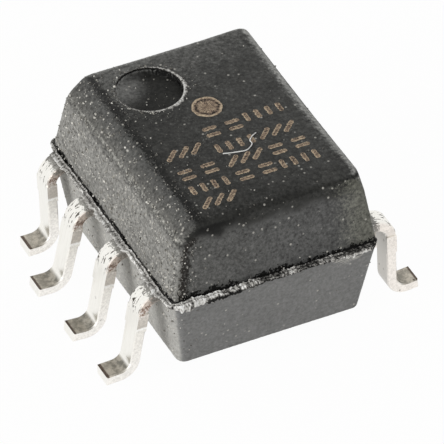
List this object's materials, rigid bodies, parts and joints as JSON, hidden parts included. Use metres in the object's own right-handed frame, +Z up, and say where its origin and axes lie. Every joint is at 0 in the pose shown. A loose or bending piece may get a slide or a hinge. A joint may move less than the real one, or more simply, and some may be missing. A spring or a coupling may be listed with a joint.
{
  "type": "soic chip",
  "caption": "Small-outline surface-mount optocoupler: black moulded body with a bevelled side and a round corner recess, and short gull-wing leads, loose and lightly worn.",
  "frame": {"origin": "under the centre of the body, at the height of the lowest foot", "axes": "+Z up out of the marked top, +X across the leads from the bevelled side, +Y along the body to the end with the recess"},
  "size_m": [0.0061, 0.005, 0.0033],
  "materials": {
    "mould_compound": "matte black filled epoxy",
    "plated_lead": "satin plated copper alloy",
    "emitter_chip": "polished",
    "detector_chip": "polished",
    "die_attach": "silver-filled epoxy",
    "clear_gel": "clear silicone",
    "clear_film": "clear amber film",
    "bond_wire": "bright gold"
  },
  "bodies": {
    "root": {"mould_body": "mould_compound", "lead_1": "plated_lead", "lead_2": "plated_lead", "lead_3": "plated_lead", "lead_4": "plated_lead", "lead_5": "plated_lead", "lead_6": "plated_lead", "lead_7": "plated_lead", "lead_8": "plated_lead", "emitter_die": "emitter_chip", "emitter_die_attach": "die_attach", "detector_die": "detector_chip", "detector_die_attach": "die_attach", "insulating_film": "clear_film", "coupling_gel": "clear_gel", "bond_wire_2": "bond_wire", "bond_wire_5": "bond_wire", "bond_wire_6": "bond_wire", "bond_wire_7": "bond_wire", "bond_wire_8": "bond_wire"}
  },
  "joints": []
}
